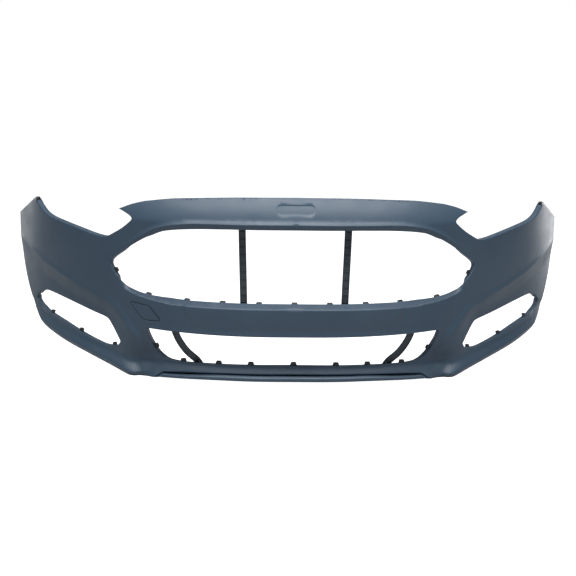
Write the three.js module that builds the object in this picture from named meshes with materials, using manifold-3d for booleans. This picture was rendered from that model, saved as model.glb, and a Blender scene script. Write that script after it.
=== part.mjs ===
// Front bumper cover of a mid-size saloon car: a moulded skin with its lip, braces, tow-eye cap and fixings.
// Millimetres. +X is to the right seen from the front, +Y is back towards the car, +Z is up.
// The shape is laid out from the front of the centre bar (Y 0) and the underside of the lip (Z 0);
// the finished cover is then shifted so that its origin is the centre of the top centre fixing pad.
// The skin is one moulding on the car. Here it is cut into panels along lines that need not show,
// so that each panel is a simple shape and the openings between them stay open to what goes in them.
import * as THREE from 'three';
import { mergeVertices } from 'three/addons/utils/BufferGeometryUtils.js';
import Module from 'manifold-3d';

const wasm = await Module();
wasm.setup();

// ---- driving dimensions ----
const HALF_WIDTH = 915;        // centre line to the wheel-arch edge
const WING_DEPTH = 600;        // front of the bar to the rear edge of the wing
const CORNER_DEPTH = 70;       // share of the wing depth that comes from the tight turn at the end
const FLAT_HALF = 60;          // half width of the flat stretch of the bar
const WALL = 3;                // moulding wall
const GAP = 0.3;               // clearance between touching pieces
const HOOD_EDGE_Z = 567;       // bonnet edge at the centre
const NOSE_LEAN = 62;          // how far the bonnet edge lies behind the nose line
const NOSE_LINE_Z = 484;       // crease above the upper opening
const GRILLE_TOP_Z = 473;
const GRILLE_BOTTOM_Z = 244;
const LEDGE_Z = 230;           // front edge of the ledge on top of the bar
const LEDGE_DEPTH = 26;
const BAR_BOTTOM_Z = 144;
const INTAKE_BOTTOM_Z = 46;
const LOWER_BAR_SETBACK = 36;
const SLOT_TOP_Z = 22;
const SLOT_BOTTOM_Z = 15;
const ARCH_TOP_Z = 440;        // height of the wing's rear corner
const ARCH_BOTTOM_Z = 95;
const ARCH_TUCK = 51;          // how far the arch edge comes in over ARCH_TUCK_HEIGHT below its top
const ARCH_TUCK_HEIGHT = 285;
const SCOOP_DEPTH = 16;        // depth of the scoop under the wing crease
const RIM_DEPTH = 14;          // return flanges round the openings and edges
const TOP_PAD = { x: 0, y: 98, top: 551, halfX: 45, halfY: 30 };           // behind the bonnet edge
const SIDE_PAD = { x: 300, y: 132, top: 541, halfX: 30, halfY: 30 };
const PAD_REACH = 20;          // how far a pad's plate runs forward to meet the wall
const WING_PAD = { x: 850, y: 530, top: 452, halfX: 26, halfY: 26 };       // under the wing tips
const LAND_HALF = 12;          // half depth of the raised land on each pad
const RIVET_RADIUS = 3;
const RIVET_GRIP = 10;         // how far a rivet reaches into its post
const ARCH_FLANGE = 26;        // width of the flange turned in round the wheel arch
const FRONT = -120;            // cutting solids run from in front of the cover
const BACK = 760;              // to behind it
const PANEL_SPLIT_X = 430;     // the middle panels end here and the wing panels begin
const CHIN_CUT = { x: 430, z: 53, slope: 0.27 };   // cut along the middle of the fog opening
const WING_CUT = { x: 572, z: 341, slope: 0.1 };     // cut outwards from the outer corner of the upper opening

// tow-eye cap, on the left of the bar only
const CAP_GAP = 2.6;
const CAP_OUTLINE = [[-509, 223], [-470, 180], [-458, 174], [-413, 175], [-448, 217]];
const CAP_CENTRE = { x: -462, z: 198 };
const CAP_STIFFENER_DEPTH = 8;

// lip under the lower bar; its section is (y, z) from the front of the lip and its foot
const LIP_HALF = 428;
const LIP_SECTION = [[16, 0], [50, 0], [50, 3], [19, 3], [16.5, 9], [19, 12], [55, 12], [55, 28], [52, 28],
  [52, 15], [18, 15], [14, 11], [13, 6]];
const LIP_LEDGE_Y = 43;        // the clips' stems go through the ledge here
const LIP_CLIPS = [-240, -81, 81, 240];
const CLIP_STEM = 9;

// braces behind the openings, riveted to posts at the points given
const GRILLE_BRACE = { faceY: 50, low: [154.5, 212], high: [162.5, 500], thick: 6, width: 22 };
const BRACE_RIB = { width: 5, height: 10, low: [155.2, 238], high: [161.8, 474] };
const INTAKE_BRACE = { faceY: 92, low: [290, 37], high: [371, 160], thick: 7, width: 21 };
const GRILLE_POSTS = [[154.8, 224], [162.2, 490]];
const INTAKE_POSTS = [INTAKE_BRACE.low, INTAKE_BRACE.high];
const POST_HALF = { x: 11, z: 7 };
const RIVET_HEAD = { radius: 7, thick: 3 };

// clips over the wing tips and nuts on the arch flanges
const WING_CLIP_PATCH = [[833, 490], [847, 490], [847, 513], [833, 513]];
const ARCH_NUT_HEIGHTS = [235, 365];
const ARCH_NUT_HALF = 8;

const PRIMER = { color: 0x46525f, roughness: 0.42, metalness: 0.05 };
const MOULDED_BLACK = { color: 0x2a3036, roughness: 0.6, metalness: 0 };
const ZINC = { color: 0x9a9d9f, roughness: 0.35, metalness: 0.9 };

// ---- solids ----
const clamp01 = (t) => Math.min(1, Math.max(0, t));
const smooth = (t) => clamp01(t) ** 2 * (3 - 2 * clamp01(t));

function solidOf(geometry) {
  const bare = geometry.index ? geometry.toNonIndexed() : geometry.clone();
  for (const name of Object.keys(bare.attributes)) {
    if (name !== 'position') bare.deleteAttribute(name);
  }
  const merged = mergeVertices(bare, 1e-4);
  const vertProperties = new Float32Array(merged.attributes.position.array);
  const triVerts = new Uint32Array(merged.index.array);
  const solid = new wasm.Manifold(new wasm.Mesh({ numProp: 3, vertProperties, triVerts }));
  if (solid.volume() < 0) throw new Error('inside-out solid');
  return solid;
}

function geometryOf(solid) {
  const mesh = solid.getMesh();
  const geometry = new THREE.BufferGeometry();
  geometry.setAttribute('position', new THREE.BufferAttribute(new Float32Array(mesh.vertProperties), 3));
  geometry.setIndex(Array.from(mesh.triVerts));
  return geometry;
}

// The main body of a solid, without crumbs or enclosed bubbles left by the cutting.
function largestBody(solid) {
  return solid.decompose().reduce((a, b) => (b.volume() > a.volume() ? b : a));
}

// A box given by its lowest and highest corner.
function block(low, high) {
  const geometry = new THREE.BoxGeometry(high[0] - low[0], high[1] - low[1], high[2] - low[2]);
  geometry.translate((low[0] + high[0]) / 2, (low[1] + high[1]) / 2, (low[2] + high[2]) / 2);
  return solidOf(geometry);
}

// A front outline (x, z) made into a solid that runs from yFront back to yBack.
function prism(points, yFront, yBack) {
  const geometry = new THREE.ExtrudeGeometry(new THREE.Shape(points), {
    depth: yBack - yFront,
    bevelEnabled: false,
  });
  geometry.rotateX(Math.PI / 2);
  geometry.translate(0, yBack, 0);
  return solidOf(geometry);
}

function rod(radius, y0, y1, x, z, sides = 16) {
  const geometry = new THREE.CylinderGeometry(radius, radius, y1 - y0, sides);
  geometry.translate(0, (y0 + y1) / 2, 0);
  geometry.translate(x, 0, z);
  return solidOf(geometry);
}

// ---- the outer surface, as a depth y over the front view (x, z) ----
function planDepth(x) {
  const t = Math.max(0, Math.abs(x) - FLAT_HALF) / (HALF_WIDTH - FLAT_HALF);
  return (WING_DEPTH - CORNER_DEPTH) * t ** 2.1 + CORNER_DEPTH * t ** 14;
}

// Height of the lower edge of the cover over half the width.
function bottomEdge(x) {
  const a = Math.abs(x);
  if (a < 500) return -9 * smooth((a - 200) / 300);
  return -9 + 106 * ((a - 500) / 360) ** 1.18;
}

function archEdge(z) {
  return HALF_WIDTH - ARCH_TUCK * Math.max(0, (ARCH_TOP_Z - z) / ARCH_TUCK_HEIGHT) ** 2.6;
}

// Wing crease, from the arch down past the fog opening to the corner of the lower intake.
const crease = new THREE.CatmullRomCurve3([
  new THREE.Vector3(930, 0, 372),
  new THREE.Vector3(861, 0, 330),
  new THREE.Vector3(745, 0, 276),
  new THREE.Vector3(610, 0, 222),
  new THREE.Vector3(552, 0, 188),
  new THREE.Vector3(512, 0, 120),
  new THREE.Vector3(480, 0, 20),
]).getPoints(40);

// Distance to the crease, positive on the fog-opening side.
function creaseDistance(x, z) {
  const a = Math.abs(x);
  let best = Infinity;
  let side = 1;
  for (let i = 1; i < crease.length; i += 1) {
    const p = crease[i - 1];
    const q = crease[i];
    const ux = q.x - p.x;
    const uz = q.z - p.z;
    const t = clamp01(((a - p.x) * ux + (z - p.z) * uz) / (ux * ux + uz * uz));
    const dx = a - p.x - t * ux;
    const dz = z - p.z - t * uz;
    const d = Math.hypot(dx, dz);
    if (d < best) {
      best = d;
      side = Math.sign(ux * dz - uz * dx) || 1;
    }
  }
  return best * side;
}

function noseRelief(x, z) {
  const a = Math.abs(x);
  const lean = NOSE_LEAN * clamp01((z - NOSE_LINE_Z) / (HOOD_EDGE_Z - NOSE_LINE_Z)) ** 1.3;
  const under = 10 * clamp01((NOSE_LINE_Z - z) / (NOSE_LINE_Z - GRILLE_TOP_Z));
  const middle = 1 - smooth((a - 400) / 120);
  const wing = smooth((a - 560) / 120);
  return lean * (1 - 0.6 * wing) + (z > 350 ? under * middle : 0);
}

function barRelief(x, z) {
  const a = Math.abs(x);
  const middle = 1 - smooth((a - 440) / 110);
  const ledge = LEDGE_DEPTH * clamp01((z - LEDGE_Z) / (GRILLE_BOTTOM_Z - LEDGE_Z));
  const lower = LOWER_BAR_SETBACK * smooth((BAR_BOTTOM_Z + 2 - z) / (BAR_BOTTOM_Z - INTAKE_BOTTOM_Z));
  return middle * ((z < 350 ? ledge : 0) + lower);
}

function wingRelief(x, z) {
  const a = Math.abs(x);
  const below = creaseDistance(x, z);
  const up = z - bottomEdge(x);
  const scoop = SCOOP_DEPTH * smooth(below / 50) * smooth((up - 8) / 60) * smooth((a - 480) / 60);
  const roll = 12 * clamp01(1 - up / 14) ** 2 * smooth((a - 470) / 80);
  const lowered = LOWER_BAR_SETBACK * (1 - smooth((a - 440) / 110));
  const flush = 12 - 18 * smooth((a - 440) / 110);
  const corner = smooth((a - 395) / 40) * (1 - smooth((a - 540) / 120));
  const kick = (flush - lowered) * corner * (1 - smooth((z - 5) / 55));
  return scoop + roll + kick;
}

const surfaceDepth = (x, z) => planDepth(x) + noseRelief(x, z) + barRelief(x, z) + wingRelief(x, z);

// Front-to-back thickness that gives the stated wall square to the surface.
function depthOfWall(x, z, wall) {
  const step = 2;
  const slopeX = (surfaceDepth(x + step, z) - surfaceDepth(x - step, z)) / (2 * step);
  const slopeZ = (surfaceDepth(x, z + step) - surfaceDepth(x, z - step)) / (2 * step);
  return wall * Math.min(3.2, Math.hypot(1, slopeX, slopeZ));
}

// Grid stations: each stretch is [from, to, number of steps].
function stations(stretches) {
  const values = [stretches[0][0]];
  for (const [from, to, steps] of stretches) {
    for (let i = 1; i <= steps; i += 1) values.push(from + ((to - from) * i) / steps);
  }
  return values;
}

const HALF_COLUMNS = [[0, 60, 1], [60, 340, 4], [340, 620, 7], [620, 820, 4], [820, 920, 6]];
const rightColumns = stations(HALF_COLUMNS);
const COLUMNS = [...rightColumns.slice(1).reverse().map((x) => -x), ...rightColumns];
const ROWS = stations([[-30, -9, 1], [-9, 20, 2], [20, 46, 1], [46, 144, 4], [144, 150, 1], [150, 230, 2],
  [230, 244, 1], [244, 473, 6], [473, 484, 1], [484, 564, 3], [564, 580, 1]]);

// A layer of material that follows the outer surface, between two distances behind it.
function layer(front, back, measuredSquare = false) {
  const nx = COLUMNS.length - 1;
  const nz = ROWS.length - 1;
  const geometry = new THREE.BoxGeometry(nx, 1, nz, nx, 1, nz);
  const position = geometry.attributes.position;
  for (let i = 0; i < position.count; i += 1) {
    const x = COLUMNS[Math.round(position.getX(i) + nx / 2)];
    const z = ROWS[Math.round(position.getZ(i) + nz / 2)];
    const behind = position.getY(i) > 0 ? back : front;
    const depth = measuredSquare ? depthOfWall(x, z, behind) : behind;
    position.setXYZ(i, x, surfaceDepth(x, z) + depth, z);
  }
  return solidOf(geometry);
}

// ---- outlines in the front view, right-hand half first and then mirrored ----
function arcThrough(points, divisions) {
  const curve = new THREE.SplineCurve(points.map(([x, z]) => new THREE.Vector2(x, z)));
  return curve.getPoints(divisions);
}

// Joins stretches of points and mirrors them, for an outline that crosses the centre line.
function mirrored(stretches) {
  const right = stretches.flat();
  const left = right.map((p) => new THREE.Vector2(-p.x, p.y)).reverse();
  return [...right, ...left].filter((p, i, all) => i === 0 || p.distanceTo(all[i - 1]) > 0.5);
}

const flip = (points) => points.map((p) => new THREE.Vector2(-p.x, p.y)).reverse();

function coverOutline() {
  const bottom = stations([[440, 500, 2], [500, 828, 9]]).map((x) => new THREE.Vector2(x, bottomEdge(x)));
  const arch = stations([[ARCH_BOTTOM_Z, ARCH_TOP_Z, 9]]).map((z) => new THREE.Vector2(archEdge(z), z));
  return mirrored([
    [new THREE.Vector2(0.001, SLOT_TOP_Z), new THREE.Vector2(250, SLOT_TOP_Z - 2)],
    arcThrough([[330, 17], [398, 11.5], [407, 8], [432, bottomEdge(432)]], 5),
    bottom,
    arch,
    arcThrough([[843, 508], [828, 488], [812, 471], [778, 455], [690, 437], [632, 425], [597, 421]], 14),
    arcThrough([[582, 424], [567, 432], [535, 454], [506, 477]], 5),
    arcThrough([[502, 486], [512, 497], [545, 512]], 3),
    arcThrough([[464, 541], [340, 557], [180, 565], [0.001, HOOD_EDGE_Z]], 8),
  ]);
}

function grilleOutline() {
  return mirrored([
    [new THREE.Vector2(0.001, GRILLE_BOTTOM_Z)],
    arcThrough([[330, 244], [440, 252], [480, 260], [513, 272], [535, 287], [555, 306], [569, 328]], 10),
    arcThrough([[572, 341], [565, 355], [528, 384], [478, 417], [423, 446], [378, 459], [300, 468]], 10),
    [new THREE.Vector2(150, GRILLE_TOP_Z)],
  ]);
}

function intakeOutline() {
  return mirrored([
    [new THREE.Vector2(0.001, INTAKE_BOTTOM_Z), new THREE.Vector2(260, 44)],
    arcThrough([[345, 46], [380, 48], [408, 59], [427, 77], [443, 106], [457, 147]], 8),
    [new THREE.Vector2(350, 145), new THREE.Vector2(180, BAR_BOTTOM_Z)],
  ]);
}

function fogOutline() {
  return [
    ...arcThrough([[541, 92], [550, 79], [576, 70], [602, 70]], 5),
    ...arcThrough([[650, 84], [742, 117], [808, 142]], 4),
    ...arcThrough([[828, 153], [838, 165], [827, 184], [810, 200], [784, 204]], 6),
    ...arcThrough([[734, 195], [640, 172], [590, 160]], 3),
    new THREE.Vector2(584, 157),
  ];
}

// Moves an anticlockwise outline outwards by a distance, inwards if it is negative.
function grown(points, distance) {
  return points.map((p, i) => {
    const before = points[(i + points.length - 1) % points.length];
    const after = points[(i + 1) % points.length];
    const a = p.clone().sub(before).normalize();
    const b = after.clone().sub(p).normalize();
    const normal = new THREE.Vector2(a.y + b.y, -a.x - b.x).normalize();
    const stretch = Math.max(0.5, Math.abs(normal.x * a.y - normal.y * a.x));
    return p.clone().addScaledVector(normal, distance / stretch);
  });
}

// The cap's outline carried back square to the bar's surface there, grown by a distance all round.
function capPrism(distance) {
  const outline = grown(CAP_OUTLINE.map(([x, z]) => new THREE.Vector2(x, z)), distance);
  const step = 5;
  const length = 80;
  const y0 = surfaceDepth(CAP_CENTRE.x, CAP_CENTRE.z);
  const slope = (surfaceDepth(CAP_CENTRE.x - step, CAP_CENTRE.z) - y0) / step;
  const shape = new THREE.Shape(outline);
  const geometry = new THREE.ExtrudeGeometry(shape, { depth: length, bevelEnabled: false });
  geometry.rotateX(Math.PI / 2);
  const position = geometry.attributes.position;
  for (let i = 0; i < position.count; i += 1) {
    const back = position.getY(i) + length / 2;
    position.setXYZ(i, position.getX(i) + slope * back, y0 + back, position.getZ(i));
  }
  return solidOf(geometry);
}

// ---- the moulded skin ----
const behindSkin = layer(1, 500);
const wallLayer = layer(0, WALL, true);
const rimLayer = layer(0.5, RIM_DEPTH);

// A return flange round an opening, turned back into the car.
function openingRim(outline) {
  const ring = prism(grown(outline, WALL), FRONT, BACK).subtract(prism(outline, FRONT, BACK));
  return rimLayer.intersect(ring);
}

// A return flange along the outer edge of the cover, except on the wings' rear edges.
function edgeRim(outline) {
  const ring = prism(outline, FRONT, BACK).subtract(prism(grown(outline, -WALL), FRONT, BACK));
  return rimLayer.intersect(ring).intersect(block([-835, FRONT, -30], [835, BACK, 600]));
}

// A strip that runs up the wheel-arch edge, between two distances behind that edge in side view.
function archStrip(side, front, back) {
  const heights = stations([[ARCH_BOTTOM_Z + 6, ARCH_TOP_Z - 8, 8]]);
  const edge = heights.map((z) => [surfaceDepth(archEdge(z), z), z]);
  const rear = edge.map(([y, z]) => new THREE.Vector2(y + back, z));
  const fore = edge.map(([y, z]) => new THREE.Vector2(y + front, z)).reverse();
  const inner = archEdge(ARCH_BOTTOM_Z) - 2 * ARCH_FLANGE;
  const depth = HALF_WIDTH + ARCH_FLANGE - inner;
  const shape = new THREE.Shape([...rear, ...fore]);
  const geometry = new THREE.ExtrudeGeometry(shape, { depth, bevelEnabled: false });
  geometry.rotateX(Math.PI / 2);
  geometry.rotateZ(Math.PI / 2);
  geometry.translate(side > 0 ? inner : -inner - depth, 0, 0);
  return solidOf(geometry);
}

// The part of the front view that lies between two distances in from a wheel-arch edge.
function archBand(outline, side, from, to) {
  const shifted = (distance) => outline.map((p) => new THREE.Vector2(p.x - side * distance, p.y));
  return prism(shifted(from), FRONT, BACK).subtract(prism(shifted(to), FRONT, BACK));
}

// The flange turned in round a wheel arch.
function archFlange(outline, side) {
  return archStrip(side, -WALL, 0).intersect(archBand(outline, side, 0, ARCH_FLANGE));
}

// A fixing pad trimmed to stay behind the outer surface, with a raised land that the car's panel sits on.
function fixingPad({ x, y, top, halfX, halfY }, side = 1) {
  const cx = side * x;
  const plate = block([cx - halfX, y - halfY - PAD_REACH, top - 5], [cx + halfX, y + halfY, top - 1.5]);
  const land = block([cx - halfX + 8, y - LAND_HALF - 1, top - 2], [cx + halfX - 8, y + LAND_HALF, top]);
  return plate.add(land).intersect(behindSkin);
}

// A post behind the skin that a brace is riveted to, with a blind hole for the rivet.
function bracePost(x, z, faceY) {
  const low = [x - POST_HALF.x, FRONT, z - POST_HALF.z];
  const high = [x + POST_HALF.x, faceY - GAP, z + POST_HALF.z];
  const post = block(low, high).intersect(behindSkin);
  return post.subtract(rod(RIVET_RADIUS + GAP, faceY - RIVET_GRIP - 2, faceY + 5, x, z));
}

function buildSkin() {
  const cover = coverOutline();
  const grille = grilleOutline();
  const intake = intakeOutline();
  const fogs = [fogOutline(), flip(fogOutline())];
  let skin = wallLayer.intersect(prism(cover, FRONT, BACK));
  skin = skin.add(edgeRim(cover));
  for (const opening of [grille, intake, ...fogs]) skin = skin.add(openingRim(opening));
  for (const side of [-1, 1]) {
    skin = skin.add(archFlange(cover, side));
    skin = skin.add(fixingPad(SIDE_PAD, side));
    skin = skin.add(fixingPad(WING_PAD, side));
    for (const [x, z] of GRILLE_POSTS) skin = skin.add(bracePost(side * x, z, GRILLE_BRACE.faceY));
    for (const [x, z] of INTAKE_POSTS) skin = skin.add(bracePost(side * x, z, INTAKE_BRACE.faceY));
  }
  skin = skin.add(fixingPad(TOP_PAD));
  for (const opening of [grille, intake, ...fogs]) skin = skin.subtract(prism(opening, FRONT, BACK));
  skin = skin.subtract(capPrism(CAP_GAP));
  return largestBody(skin);
}

// The panels of the skin, each a name and the stretch of the front view that it covers.
function skinPanels(skin) {
  const cut = GAP / 2;
  const half = PANEL_SPLIT_X - cut;
  const outer = HALF_WIDTH + 10;
  const floor = -40;
  const intakeZ = (INTAKE_BOTTOM_Z + BAR_BOTTOM_Z) / 2;
  const grilleZ = (GRILLE_BOTTOM_Z + GRILLE_TOP_Z) / 2;
  const roof = HOOD_EDGE_Z + 10;
  const inner = half + GAP;
  const chinTop = (x) => CHIN_CUT.z + CHIN_CUT.slope * (x - CHIN_CUT.x);
  const wingTop = (x) => WING_CUT.z + WING_CUT.slope * (x - WING_CUT.x);
  const shoulder = [[inner, wingTop(inner) + cut], [outer, wingTop(outer) + cut], [outer, roof], [inner, roof]];
  const wing = [[inner, chinTop(inner) + cut], [outer, chinTop(outer) + cut], [outer, wingTop(outer) - cut],
    [inner, wingTop(inner) - cut]];
  const chin = [[inner, floor], [outer, floor], [outer, chinTop(outer) - cut], [inner, chinTop(inner) - cut]];
  const panels = {
    fascia_nose: [[-half, grilleZ], [half, grilleZ], [half, roof], [-half, roof]],
    fascia_bar: [[-half, intakeZ], [half, intakeZ], [half, grilleZ], [-half, grilleZ]],
    fascia_lower_bar: [[-half, floor], [half, floor], [half, intakeZ], [-half, intakeZ]],
    fascia_shoulder_right: shoulder,
    fascia_wing_right: wing,
    fascia_chin_right: chin,
    fascia_shoulder_left: shoulder.map(([x, z]) => [-x, z]).reverse(),
    fascia_wing_left: wing.map(([x, z]) => [-x, z]).reverse(),
    fascia_chin_left: chin.map(([x, z]) => [-x, z]).reverse(),
  };
  return Object.entries(panels).map(([name, corners]) => {
    const region = prism(corners.map(([x, z]) => new THREE.Vector2(x, z)), FRONT, BACK);
    return [name, largestBody(skin.intersect(region))];
  });
}

// ---- the lip: an open box section swept across under the lower bar ----
// Height of the lip's top edge; it drops away to nothing at the ends.
function lipTop(x) {
  const a = Math.abs(x);
  const fall = 10 * smooth((a - 200) / 200);
  return SLOT_BOTTOM_Z - fall - 13 * clamp01((a - 405) / 23);
}

function buildLip() {
  const shape = new THREE.Shape(LIP_SECTION.map(([y, z]) => new THREE.Vector2(y, z)));
  const steps = 24;
  const geometry = new THREE.ExtrudeGeometry(shape, { depth: 2 * LIP_HALF, steps, bevelEnabled: false });
  const position = geometry.attributes.position;
  for (let i = 0; i < position.count; i += 1) {
    const y = position.getX(i);
    const z = position.getY(i);
    const x = position.getZ(i) - LIP_HALF;
    const foot = bottomEdge(x);
    const height = lipTop(x) - foot;
    const share = Math.min(z, SLOT_BOTTOM_Z) / SLOT_BOTTOM_Z;
    const stand = Math.max(0, z - SLOT_BOTTOM_Z) * (1 - smooth((Math.abs(x) - 390) / 30));
    position.setXYZ(i, x, planDepth(x) + y, foot + height * share + stand);
  }
  let lip = solidOf(geometry);
  for (const x of LIP_CLIPS) lip = lip.subtract(lipStem(x, RIVET_RADIUS + GAP));
  return largestBody(lip);
}

// The stem of a lip clip, which goes down through the lip's ledge.
function lipStem(x, radius) {
  const geometry = new THREE.CylinderGeometry(radius, radius, CLIP_STEM, 16);
  geometry.rotateX(Math.PI / 2);
  geometry.translate(x, planDepth(x) + LIP_LEDGE_Y, lipTop(x) - 4);
  return solidOf(geometry);
}

function buildLipClip(x) {
  const y = planDepth(x) + LIP_LEDGE_Y;
  const head = block([x - 6, y - 7, lipTop(x) + GAP], [x + 6, y + 6, SLOT_TOP_Z - 2.4]);
  return head.add(lipStem(x, RIVET_RADIUS));
}

// ---- the tow-eye cap: flush with the bar, stiffened at the back, hinged along its top edge ----
function buildCap() {
  const face = wallLayer.intersect(capPrism(0));
  const stiffener = layer(1, CAP_STIFFENER_DEPTH).intersect(capPrism(-2).subtract(capPrism(-2 - WALL)));
  return largestBody(face.add(stiffener));
}

// ---- braces ----
// A strip of even width along a smooth route in the front view.
function ribbon(centres, half, divisions) {
  const curve = new THREE.SplineCurve(centres.map(([x, z]) => new THREE.Vector2(x, z)));
  const side = (sign) => stations([[0, 1, divisions]]).map((t) => {
    const tangent = curve.getTangent(t);
    const point = curve.getPoint(t);
    return new THREE.Vector2(point.x - sign * tangent.y * half, point.y + sign * tangent.x * half);
  });
  return [...side(-1), ...side(1).reverse()];
}

function buildGrilleBrace() {
  const { faceY, low, high, thick, width } = GRILLE_BRACE;
  const backY = faceY + thick;
  const strip = prism(ribbon([low, high], width / 2, 1), faceY, backY);
  const line = ribbon([BRACE_RIB.low, BRACE_RIB.high], BRACE_RIB.width / 2, 1);
  const rib = prism(line, backY - 1, backY + BRACE_RIB.height);
  return GRILLE_POSTS.reduce(
    (brace, [px, pz]) => brace.subtract(rod(RIVET_RADIUS + GAP, faceY - 5, faceY + thick + 5, px, pz)),
    strip.add(rib),
  );
}

function buildIntakeBrace() {
  const { faceY, low, high, thick, width } = INTAKE_BRACE;
  const foot = [low[0] - 6, low[1] - 9];
  const head = [high[0] + 1, high[1] + 11];
  const route = [foot, [299, 50], [330, 78], [354, 112], [368, 145], head];
  const strip = prism(ribbon(route, width / 2, 12), faceY, faceY + thick);
  return INTAKE_POSTS.reduce(
    (brace, [px, pz]) => brace.subtract(rod(RIVET_RADIUS + GAP, faceY - 5, faceY + thick + 5, px, pz)),
    strip,
  );
}

function buildRivet(x, z, backY) {
  const shank = rod(RIVET_RADIUS, backY - GRILLE_BRACE.thick - RIVET_GRIP, backY + 1, x, z);
  return shank.add(rod(RIVET_HEAD.radius, backY + GAP, backY + RIVET_HEAD.thick, x, z));
}

// ---- clips and nuts ----
function buildWingTipClip(side) {
  const cover = coverOutline();
  const patch = WING_CLIP_PATCH.map(([x, z]) => new THREE.Vector2(x, z));
  const region = prism(side > 0 ? patch : flip(patch), FRONT, BACK);
  const taken = layer(-0.4, RIM_DEPTH + 2).intersect(prism(grown(cover, 0.4), FRONT, BACK));
  return largestBody(layer(-3, RIM_DEPTH + 5).intersect(region).subtract(taken));
}

function buildArchNut(side, z) {
  const cover = coverOutline();
  const height = block([-950, FRONT, z - ARCH_NUT_HALF], [950, BACK, z + ARCH_NUT_HALF]);
  const body = archStrip(side, -WALL - 2.4, 2.4).intersect(archBand(cover, side, 12, ARCH_FLANGE + 2.6));
  const taken = archStrip(side, -WALL - 0.4, 0.4).intersect(archBand(cover, side, 0, ARCH_FLANGE + 0.4));
  return largestBody(body.intersect(height).subtract(taken));
}

// ---- the assembly ----
const group = new THREE.Group();
group.position.set(0, -TOP_PAD.y, -TOP_PAD.top);

function addPiece(name, solid, look, mirrorIt = false) {
  const geometry = geometryOf(mirrorIt ? solid.mirror([1, 0, 0]) : solid);
  const mesh = new THREE.Mesh(geometry, new THREE.MeshStandardMaterial(look));
  mesh.name = name;
  group.add(mesh);
}

for (const [name, panel] of skinPanels(buildSkin())) addPiece(name, panel, PRIMER);
addPiece('lower_lip', buildLip(), PRIMER);
LIP_CLIPS.forEach((x, i) => addPiece(`lip_clip_${i + 1}`, buildLipClip(x), MOULDED_BLACK));
addPiece('tow_eye_cap', buildCap(), PRIMER);
for (const [side, onLeft] of [['left', true], ['right', false]]) {
  addPiece(`grille_brace_${side}`, buildGrilleBrace(), MOULDED_BLACK, onLeft);
  addPiece(`intake_brace_${side}`, buildIntakeBrace(), MOULDED_BLACK, onLeft);
  GRILLE_POSTS.forEach(([x, z], i) => {
    const rivet = buildRivet(x, z, GRILLE_BRACE.faceY + GRILLE_BRACE.thick);
    addPiece(`grille_rivet_${side}_${i + 1}`, rivet, MOULDED_BLACK, onLeft);
  });
  INTAKE_POSTS.forEach(([x, z], i) => {
    const rivet = buildRivet(x, z, INTAKE_BRACE.faceY + INTAKE_BRACE.thick);
    addPiece(`intake_rivet_${side}_${i + 1}`, rivet, MOULDED_BLACK, onLeft);
  });
  addPiece(`wing_tip_clip_${side}`, buildWingTipClip(onLeft ? -1 : 1), MOULDED_BLACK);
  ARCH_NUT_HEIGHTS.forEach((z, i) => {
    addPiece(`arch_nut_${side}_${i + 1}`, buildArchNut(onLeft ? -1 : 1, z), ZINC);
  });
}

export default group;
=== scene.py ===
import math
import bmesh
import bpy
import numpy as np
from mathutils import Matrix, Vector
from mathutils.geometry import delaunay_2d_cdt
from mathutils.kdtree import KDTree


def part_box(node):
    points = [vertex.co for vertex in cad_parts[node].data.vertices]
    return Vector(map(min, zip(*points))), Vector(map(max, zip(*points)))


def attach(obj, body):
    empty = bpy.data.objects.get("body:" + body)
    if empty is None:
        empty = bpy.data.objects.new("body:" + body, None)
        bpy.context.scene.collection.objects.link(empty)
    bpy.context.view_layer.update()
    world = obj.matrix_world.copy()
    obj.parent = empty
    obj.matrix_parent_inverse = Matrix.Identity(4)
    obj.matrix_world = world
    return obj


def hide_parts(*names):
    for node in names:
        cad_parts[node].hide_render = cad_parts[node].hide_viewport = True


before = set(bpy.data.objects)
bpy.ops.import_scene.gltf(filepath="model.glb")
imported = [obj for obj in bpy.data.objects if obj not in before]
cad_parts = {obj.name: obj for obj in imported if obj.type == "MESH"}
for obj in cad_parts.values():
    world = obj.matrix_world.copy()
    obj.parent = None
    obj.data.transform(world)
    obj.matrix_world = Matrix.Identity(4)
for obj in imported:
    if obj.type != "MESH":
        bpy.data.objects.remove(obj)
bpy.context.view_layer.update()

# ------------------------------------
# Cover skin: one injection moulding of primed plastic, about 3 mm thick, with openings for the grille,
# the intake and the fog lamps. It hangs by push-pins from the bonnet edge and the wings.
# Its outer surface is drawn over the front view: x across and z up from the underside of the lip, with
# y the depth behind the front of the centre bar, all in millimetres.
# ------------------------------------
HALF_WIDTH = 915
FLAT_HALF = 60
WING_DEPTH = 530
CORNER_DEPTH = 70
HOOD_EDGE_Z = 567
NOSE_LINE_Z = 484
GRILLE_TOP_Z = 473
GRILLE_BOTTOM_Z = 244
BAR_BOTTOM_Z = 144
INTAKE_BOTTOM_Z = 46
SLOT_TOP_Z = 22
ARCH_TOP_Z = 440
ARCH_BOTTOM_Z = 95
ARCH_TUCK = 51
ARCH_TUCK_HEIGHT = 285

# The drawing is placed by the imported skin: the front of its bar is y = 0, its top is the bonnet edge.
BAR_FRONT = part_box("fascia_bar")[0][1]
NOSE_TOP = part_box("fascia_nose")[1][2]
DRAWING_ORIGIN = np.array([0.0, BAR_FRONT, NOSE_TOP - HOOD_EDGE_Z / 1000])


def to_frame(points):
    """Points of the drawing, in millimetres, as places in the frame."""
    return np.asarray(points, dtype=float) / 1000 + DRAWING_ORIGIN


def ease(t):
    """Smooth step from 0 to 1."""
    t = np.clip(t, 0, 1)
    return t * t * (3 - 2 * t)


def soft_ramp(s, radius):
    """Zero below s = 0 and s above it, with the corner rounded."""
    return (s + np.sqrt(s * s + radius * radius)) / 2


def soft_least(a, b, radius):
    """The smaller of two depths, with the fold between them rounded."""
    return (a + b - np.sqrt((a - b) ** 2 + radius * radius)) / 2


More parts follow.
